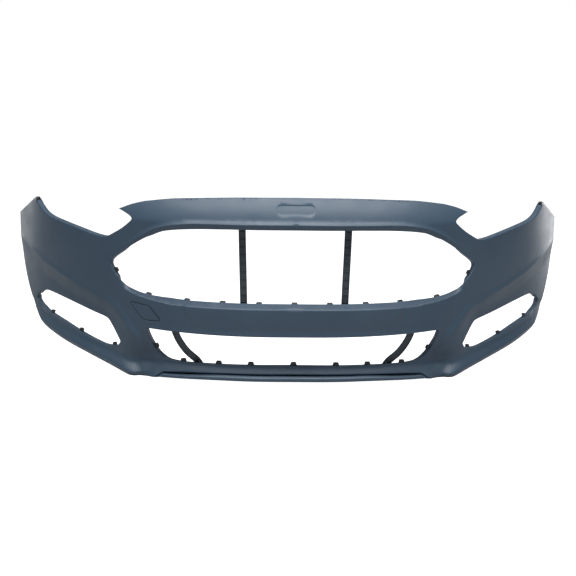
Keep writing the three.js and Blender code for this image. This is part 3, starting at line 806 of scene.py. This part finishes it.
def add_block(bm, low, high, frame_of=None, taper=0.0, bevel=0.6):
    """A box with rounded edges, in millimetres, narrowed along x towards its high y by the taper."""
    made_verts = bmesh.ops.create_cube(bm, size=1)["verts"]
    middle = [(a + b) / 2 for a, b in zip(low, high)]
    bmesh.ops.scale(bm, verts=made_verts, vec=[b - a for a, b in zip(low, high)])
    bmesh.ops.translate(bm, verts=made_verts, vec=middle)
    for v in made_verts:
        if v.co.y > middle[1]:
            v.co.x = middle[0] + (v.co.x - middle[0]) * (1 - taper)
    if frame_of is not None:
        bmesh.ops.transform(bm, matrix=frame_of, verts=made_verts)
    rim = list({e for v in made_verts for e in v.link_edges})
    if bevel:
        bmesh.ops.bevel(bm, geom=rim, offset=bevel, segments=2, profile=0.5, affect="EDGES", material=-1)


def set_down(name, bm, look, body="cover", replaced=(), crisp=35):
    """Makes a piece from a mesh drawn in millimetres, and rides it on its body."""
    bmesh.ops.scale(bm, verts=bm.verts, vec=(0.001, 0.001, 0.001))
    bmesh.ops.translate(bm, verts=bm.verts, vec=DRAWING_ORIGIN)
    bmesh.ops.remove_doubles(bm, verts=bm.verts, dist=0.00001)
    bmesh.ops.recalc_face_normals(bm, faces=bm.faces)
    for face in bm.faces:
        face.smooth = True
    for edge in bm.edges:
        if len(edge.link_faces) == 2 and edge.calc_face_angle() > math.radians(crisp):
            edge.smooth = False
    mesh = bpy.data.meshes.new(name)
    bm.to_mesh(mesh)
    bm.free()
    mesh.materials.append(look)
    piece = bpy.data.objects.new(name, mesh)
    bpy.context.scene.collection.objects.link(piece)
    if replaced:
        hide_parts(*replaced)
    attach(piece, body)
    return piece


# the third colour is the painted highlight on proud edges, a lighter copy of the black
nylon = finish_of("black_nylon", (0.008, 0.009, 0.010, 1), (0.013, 0.014, 0.015, 1),
                  (0.05, 0.05, 0.05, 1), roughness=0.42, grain_size=900.0, relief=0.00005,
                  cloud_scale=20.0, dust=0.1)

GRILLE_TABS = [(0, 243), (110, 243), (222, 243), (333, 245), (455, 254), (560, 314)]
INTAKE_TABS = [(0, 46), (132, 45), (233, 44.5), (342, 44), (432, 86)]
FOG_TABS = [(790, 132), (684, 94), (568, 70)]
TAB_SET_BACK = 6.5  # behind the outer surface
TAB_ROOT = -5  # starts inside the edge
TAB_REACH = 5.5  # stands this far out over it
TAB_HALF = 11
TAB_THICK = 2.6
TAB_EXTRA = 4  # the tabs of the grille are taller
TAB_RIB_HALF = 1.2
SHADE_BLOCK_HALF = 9
SHADE_BLOCK_TOP = 9.5
SHADE_PLATE_HALF = 6.5
tabs = bmesh.new()
tab_shade_blocks = bmesh.new()


def add_tab(at, rise):
    """One tab with the rib behind it, and on its tip a black block with a thin black plate behind it:
    painted shade.
    """
    front = -TAB_SET_BACK
    top = SHADE_BLOCK_TOP + rise
    add_block(tabs, (-TAB_HALF, TAB_ROOT, front - TAB_THICK), (TAB_HALF, TAB_REACH + rise, front), at,
              taper=0.12)
    add_block(tabs, (-TAB_RIB_HALF, TAB_ROOT, front - 7), (TAB_RIB_HALF, 4, front - 2), at, bevel=0.3)
    # black block and plate on the tab's tip: painted shade, in the black nylon
    add_block(tab_shade_blocks, (-SHADE_BLOCK_HALF, 3 + rise, front - 3.6), (SHADE_BLOCK_HALF, top, front + 1), at, taper=0.1)
    add_block(tab_shade_blocks, (-SHADE_PLATE_HALF, top - 1.5, front - 7.5), (SHADE_PLATE_HALF, top + 0.5, front - 1), at,
              bevel=0.4)


for outline, spots, sides in ((GRILLE, GRILLE_TABS, (1, -1)), (INTAKE, INTAKE_TABS, (1, -1)),
                              (FOG, FOG_TABS, (1,)), (flipped(FOG), FOG_TABS, (-1,))):
    for x, z in spots:
        for side in sides[:1] if x == 0 else sides:
            extra = TAB_EXTRA if outline is GRILLE and x < 500 else 0
            add_tab(edge_frame(outline, side * x, z), extra)
set_down("opening_tabs", tabs, primer)
# the black blocks on the tab tips are painted shade
set_down("tab_shade_blocks", tab_shade_blocks, nylon)


# ------------------------------------
# Fixing pads and brace posts: moulded behind the skin in one with it. The pads lie under the bonnet
# edge and the wing tips with a raised land each, and the posts take the rivets of the braces.
# ------------------------------------
TOP_PAD = dict(x=0, y=98, top=551, half_x=45, half_y=30)
SIDE_PAD = dict(x=300, y=132, top=541, half_x=30, half_y=30)
WING_PAD = dict(x=850, y=530, top=452, half_x=26, half_y=26)
GRILLE_FACE_Y = 50
GRILLE_RIVETS = [(154.8, 224), (162.2, 490)]
INTAKE_FACE_Y = 92
INTAKE_RIVETS = [(290, 37), (371, 160)]
PAD_REACH = 20  # the plate runs this far forward of the pad, towards the skin
LAND_INSET = 8
LAND_HALF_Y = 13
WEB_HALF = 1.2
BEHIND_SKIN = 2.2  # nothing of the pads comes nearer to the outer surface
POST_HALF_X = 11
POST_HALF_Z = 7
FIN_HALF_Z = 15


def add_pad(bm, x, y, top, half_x, half_y):
    """A pad with its land, and two webs under it that run forward to the skin."""
    wall_y = float(surface(x, top - 3)) + 2.4
    front_y = max(wall_y, y - half_y - PAD_REACH)
    add_block(bm, (x - half_x, front_y, top - 5), (x + half_x, y + half_y, top - 1.5))
    add_block(bm, (x - half_x + LAND_INSET, y - LAND_HALF_Y, top - 2),
              (x + half_x - LAND_INSET, y + LAND_HALF_Y, top))
    for web in (x - half_x * 0.6, x + half_x * 0.6):
        add_block(bm, (web - WEB_HALF, y - half_y + 1, top - 19),
                  (web + WEB_HALF, y + half_y - 6, top - 4.8), bevel=0.4)


pads = bmesh.new()
add_pad(pads, **TOP_PAD)
for side in (-1, 1):
    for pad in (SIDE_PAD, WING_PAD):
        add_pad(pads, **{**pad, "x": side * pad["x"]})
    for face_y, rivets in ((GRILLE_FACE_Y, GRILLE_RIVETS), (INTAKE_FACE_Y, INTAKE_RIVETS)):
        for x, z in rivets:
            front_y = float(surface(x, z)) + 1.8
            add_block(pads, (side * x - POST_HALF_X, front_y, z - POST_HALF_Z),
                      (side * x + POST_HALF_X, face_y - 0.3, z + POST_HALF_Z))
            add_block(pads, (side * x - WEB_HALF, front_y, z - FIN_HALF_Z),
                      (side * x + WEB_HALF, face_y - 6, z + FIN_HALF_Z), bevel=0.3)
for v in pads.verts:
    v.co.y = max(v.co.y, float(surface(v.co.x, v.co.z)) + BEHIND_SKIN)
set_down("pads_and_posts", pads, primer)


# ------------------------------------
# Lower lip: a primed air-dam moulding that hangs under the lower bar. It leaves a narrow dark slot
# under the bar and is clipped up into it with four push clips.
# ------------------------------------
LIP_HALF = 428
LIP_SECTION = [(16, 0), (50, 0), (50, 3), (20, 3), (17.5, 9), (20, 12), (55, 12), (55, 28), (52, 28),
               (52, 15), (18, 15), (13.6, 11), (12.4, 6)]
LIP_TOP = 15
LIP_FALL = 10  # the top falls towards the sides
LIP_END_FALL = 13  # and runs out at the very ends


def lip_top(x):
    """Height of the lip's front top edge."""
    a = np.abs(x)
    return LIP_TOP - LIP_FALL * ease((a - 200) / 200) - LIP_END_FALL * np.clip((a - 405) / 23, 0, 1)


lip = bmesh.new()
lip.faces.new([lip.verts.new((-LIP_HALF, y, z)) for y, z in LIP_SECTION])
bmesh.ops.bevel(lip, geom=lip.verts[:], offset=0.9, segments=2, profile=0.5, affect="VERTICES",
                material=-1)
run = bmesh.ops.extrude_face_region(lip, geom=lip.faces[:])
bmesh.ops.translate(lip, verts=[v for v in run["geom"] if isinstance(v, bmesh.types.BMVert)],
                    vec=(2 * LIP_HALF, 0, 0))
long_edges = [e for e in lip.edges if abs(e.verts[0].co.x - e.verts[1].co.x) > LIP_HALF]
bmesh.ops.subdivide_edges(lip, edges=long_edges, cuts=110, use_grid_fill=False)
for v in lip.verts:
    x, y, z = v.co
    foot = float(bottom_edge(x))
    stand = max(0.0, z - LIP_TOP) * (1 - float(ease((abs(x) - 390) / 30)))
    height = (float(lip_top(x)) - foot) * min(z, LIP_TOP) / LIP_TOP
    v.co = (x, float(plan_depth(x)) + y, foot + height + stand)
set_down("lip_moulding", lip, primer, replaced=("lower_lip",), crisp=50)
for i in range(1, 5):
    clip_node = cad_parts[f"lip_clip_{i}"]
    clip_node.data.materials.clear()
    clip_node.data.materials.append(nylon)


# ------------------------------------
# Braces: black moulded channels riveted behind the openings, which keep the thin bars apart. Two stand
# behind the upper opening and one curves up behind each end of the lower intake.
# ------------------------------------
# the third colour is the painted highlight on proud edges, a lighter copy of the black
moulded = finish_of("moulded_black", (0.032, 0.045, 0.058, 1), (0.042, 0.056, 0.070, 1),
                    (0.08, 0.09, 0.1, 1), roughness=0.5, grain_size=700.0, relief=0.0002,
                    cloud_scale=12.0, dust=0.2)
CHANNEL_WALL = 3.2
CHANNEL_DEPTH = 4.2


def channel(route, width, face_y, thick, rows):
    """A channel with raised sides along a route in the front view, rounded at both ends."""
    line = through(route, 200)
    run = np.concatenate([[0], np.cumsum(np.hypot(*np.diff(line, axis=0).T))])
    length = run[-1]
    bm = bmesh.new()
    bmesh.ops.create_grid(bm, x_segments=2, y_segments=rows, size=0.5)
    bmesh.ops.scale(bm, verts=bm.verts, vec=(width, length, 1))
    bmesh.ops.translate(bm, verts=bm.verts, vec=(0, length / 2, 0))
    inner = bmesh.ops.inset_region(bm, faces=bm.faces[:], thickness=CHANNEL_WALL, use_even_offset=True)
    border = set(inner["faces"])
    floor_faces = [f for f in bm.faces if f not in border]
    sunk = bmesh.ops.extrude_face_region(bm, geom=floor_faces)
    bmesh.ops.delete(bm, geom=floor_faces, context="FACES")
    sunk_verts = [v for v in sunk["geom"] if isinstance(v, bmesh.types.BMVert)]
    bmesh.ops.translate(bm, verts=sunk_verts, vec=(0, 0, CHANNEL_DEPTH))
    boundary = [e for e in bm.edges if e.is_boundary]
    walls = bmesh.ops.extrude_edge_only(bm, edges=boundary)
    wall_verts = [v for v in walls["geom"] if isinstance(v, bmesh.types.BMVert)]
    bmesh.ops.translate(bm, verts=wall_verts, vec=(0, 0, thick))
    bmesh.ops.holes_fill(bm, edges=[e for e in bm.edges if e.is_boundary], sides=0)
    bmesh.ops.recalc_face_normals(bm, faces=bm.faces)
    for v in bm.verts:
        u, along, back_by = v.co
        # the ends are rounded by drawing the corners in
        end_gap = min(along, length - along)
        if end_gap < width / 2:
            reach = width / 2 - end_gap
            u *= math.sqrt(max(0.04, 1 - (reach / (width / 2)) ** 2 * 0.75))
        x = float(np.interp(along, run, line[:, 0]))
        z = float(np.interp(along, run, line[:, 1]))
        i = min(int(np.searchsorted(run, along)), len(line) - 1)
        before, after = line[max(0, i - 3)], line[min(len(line) - 1, i + 3)]
        tangent = (after - before) / np.hypot(*(after - before))
        v.co = (x + tangent[1] * u, face_y + back_by, z - tangent[0] * u)
    return bm


def mirrored_copy(bm):
    """The same piece for the other side."""
    twin = bm.copy()
    bmesh.ops.scale(twin, verts=twin.verts, vec=(-1, 1, 1))
    bmesh.ops.reverse_faces(twin, faces=twin.faces)
    return twin


GRILLE_ROUTE = [(154.5, 212), (157, 308), (160, 404), (162.5, 500)]
INTAKE_ROUTE = [(284, 28), (299, 50), (330, 78), (354, 112), (368, 145), (372, 171)]
RIB_BOTTOM = 244
RIB_TOP = 470
RIB_STEP = 24
SPINE_TOP = 472
SPINE_MIDDLE = 355
SPINE_BOTTOM = 240
SPINE_DEPTH = 9


def add_rivet(bm, x, z, back_y):
    """A push rivet: domed head with a centre pin behind the brace, and its shank through the post."""
    profile = [(0, 3.4), (2.6, 3.4), (3.0, 2.9), (3.0, 2.3), (5.6, 2.1), (6.6, 1.4), (7.0, 0.6),
               (7.0, 0.35), (3.0, 0.3), (3.0, -16.0), (0, -16.6)]
    points = [bm.verts.new((x + r, back_y + y, z)) for r, y in profile]
    edges = [bm.edges.new(pair) for pair in zip(points[:-1], points[1:])]
    bmesh.ops.spin(bm, geom=points + edges, cent=(x, back_y, z), axis=(0, 1, 0), angle=2 * math.pi,
                   steps=28, use_merge=True)


for side_name, side in (("right", 1), ("left", -1)):
    for kind, route, width, face_y, thick, rows, spots in (
            ("grille", GRILLE_ROUTE, 22, GRILLE_FACE_Y, 6, 48, GRILLE_RIVETS),
            ("intake", INTAKE_ROUTE, 21, INTAKE_FACE_Y, 7, 40, INTAKE_RIVETS)):
        brace = channel(route, width, face_y, thick, rows)
        if kind == "grille":
            # cross ribs in the channel, which follow its slight lean, and a spine in two steps behind it
            for z in np.arange(RIB_BOTTOM, RIB_TOP, RIB_STEP):
                mid = 154.5 + 8 * (z - 212) / 288
                add_block(brace, (mid - 8, face_y + 1.5, z - 0.8), (mid + 8, face_y + 5, z + 0.8),
                          bevel=0.2)
            spine_y = face_y + thick
            for left, low, high in ((151, SPINE_BOTTOM, SPINE_MIDDLE), (158, SPINE_MIDDLE, SPINE_TOP)):
                add_block(brace, (left, spine_y - 0.5, low), (left + 5, spine_y + SPINE_DEPTH, high),
                          bevel=0.5)
        if side < 0:
            plain = brace
            brace = mirrored_copy(plain)
            plain.free()
        set_down(f"{kind}_channel_{side_name}", brace, moulded,
                 replaced=(f"{kind}_brace_{side_name}",))
        for i, (x, z) in enumerate(spots, 1):
            rivet = bmesh.new()
            add_rivet(rivet, side * x, z, face_y + thick)
            set_down(f"{kind}_push_rivet_{side_name}_{i}", rivet, nylon,
                     replaced=(f"{kind}_rivet_{side_name}_{i}",))


# ------------------------------------
# Wing tip clips: small black nylon clips pushed over the edge of each wing tip, which locate the tip
# against the car's wing.
# ------------------------------------
TIP_CLIP_X = 836
TIP_CLIP_Z = 503
for side_name, side in (("right", 1), ("left", -1)):
    clip = bmesh.new()
    at = edge_frame(COVER, side * TIP_CLIP_X, TIP_CLIP_Z, is_hole=False)
    add_block(clip, (-7, -9, -3.6), (7, 2.6, 0.9), at, taper=0.15)
    add_block(clip, (-4.5, 1.2, -11), (4.5, 5.5, 1.2), at, bevel=0.5)
    set_down(f"tip_clip_{side_name}", clip, nylon,
             replaced=(f"wing_tip_clip_{side_name}",))


# ------------------------------------
# Arch nuts: zinc-plated spring nuts pushed onto the flange round each wheel arch, for the screws of
# the arch liner.
# ------------------------------------
# the third colour is the painted highlight on proud edges, a lighter copy of the zinc
zinc = finish_of("zinc_plate", (0.42, 0.43, 0.42, 1), (0.56, 0.56, 0.52, 1), (0.7, 0.7, 0.68, 1),
                 roughness=0.34, grain_size=1500.0, relief=0.00002, cloud_scale=60.0, dust=0.1,
                 metallic=1.0)
for side_name in ("left", "right"):
    for i in (1, 2):
        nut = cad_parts[f"arch_nut_{side_name}_{i}"]
        nut.data.materials.clear()
        nut.data.materials.append(zinc)


# ------------------------------------
# Camera, floor and light: the cover is seen a little from above, on a white floor, under one long
# lamp overhead with a weaker one behind each side.
# ------------------------------------
AIM = DRAWING_ORIGIN + np.array([-0.013, 0.250, 0.2495])
DISTANCE = 4.483
ELEVATION = math.radians(11)
AZIMUTH = math.radians(-2.05)
ROLL = math.radians(-0.84)
back = Vector((math.sin(AZIMUTH) * math.cos(ELEVATION), -math.cos(AZIMUTH) * math.cos(ELEVATION),
               math.sin(ELEVATION)))
lens = bpy.data.cameras.new("studio_camera")
lens.sensor_width = 36
lens.lens = 87.5
camera = bpy.data.objects.new("studio_camera", lens)
bpy.context.scene.collection.objects.link(camera)
camera.location = Vector(AIM) + back * DISTANCE
turn = back.to_track_quat("Z", "Y").to_matrix().to_4x4()
camera.rotation_euler = (turn @ Matrix.Rotation(-ROLL, 4, "Z")).to_euler()
bpy.context.scene.camera = camera

floor_mesh = bpy.data.meshes.new("floor")
bm = bmesh.new()
bmesh.ops.create_grid(bm, x_segments=1, y_segments=1, size=12)
bmesh.ops.translate(bm, verts=bm.verts, vec=(0, 0, DRAWING_ORIGIN[2] - 0.011))
bm.to_mesh(floor_mesh)
bm.free()
floor = bpy.data.objects.new("floor", floor_mesh)
bpy.context.scene.collection.objects.link(floor)
pale = bpy.data.materials.new("floor_pale")
pale.use_nodes = True
shader = pale.node_tree.nodes["Principled BSDF"]
shader.inputs["Base Color"].default_value = (0.5, 0.5, 0.5, 1)
shader.inputs["Roughness"].default_value = 0.9
shader.inputs["Emission Color"].default_value = (1, 1, 1, 1)
ray = pale.node_tree.nodes.new("ShaderNodeLightPath")
glow = ranged(pale.node_tree, 0, 1, 0.1, 1.0)
linked(pale.node_tree, ray, "Is Camera Ray", glow, "Value")
linked(pale.node_tree, glow, "Result", shader, "Emission Strength")
floor.data.materials.append(pale)

world = bpy.data.worlds.new("studio")
world.use_nodes = True
tree = world.node_tree
seen = tree.nodes.new("ShaderNodeBackground")
seen.inputs["Color"].default_value = (1, 1, 1, 1)
lighting = tree.nodes["Background"]
lighting.inputs["Color"].default_value = (0.86, 0.93, 1.0, 1)
lighting.inputs["Strength"].default_value = 0.13
path = tree.nodes.new("ShaderNodeLightPath")
choice = tree.nodes.new("ShaderNodeMixShader")
tree.links.new(path.outputs["Is Camera Ray"], choice.inputs[0])
tree.links.new(lighting.outputs[0], choice.inputs[1])
tree.links.new(seen.outputs[0], choice.inputs[2])
tree.links.new(choice.outputs[0], tree.nodes["World Output"].inputs["Surface"])
bpy.context.scene.world = world
bpy.context.scene.view_settings.view_transform = "Standard"


def area(name, where, size, power, aim):
    """A flat lamp that faces the place it is aimed at."""
    light = bpy.data.lights.new(name, "AREA")
    light.shape = "RECTANGLE"
    light.size, light.size_y = size
    light.energy = power
    lamp = bpy.data.objects.new(name, light)
    bpy.context.scene.collection.objects.link(lamp)
    lamp.location = where
    lamp.rotation_euler = (Vector(where) - Vector(aim)).to_track_quat("Z", "Y").to_euler()


area("overhead", (0, -0.75, 2.0), (3.8, 0.8), 122, (0, 0.1, -0.3))
area("left_side", (-2.5, 2.1, 0.1), (0.7, 1.8), 16, (-0.9, 0.4, -0.3))
area("right_side", (2.5, 2.1, 0.1), (0.7, 1.8), 30, (0.9, 0.4, -0.3))
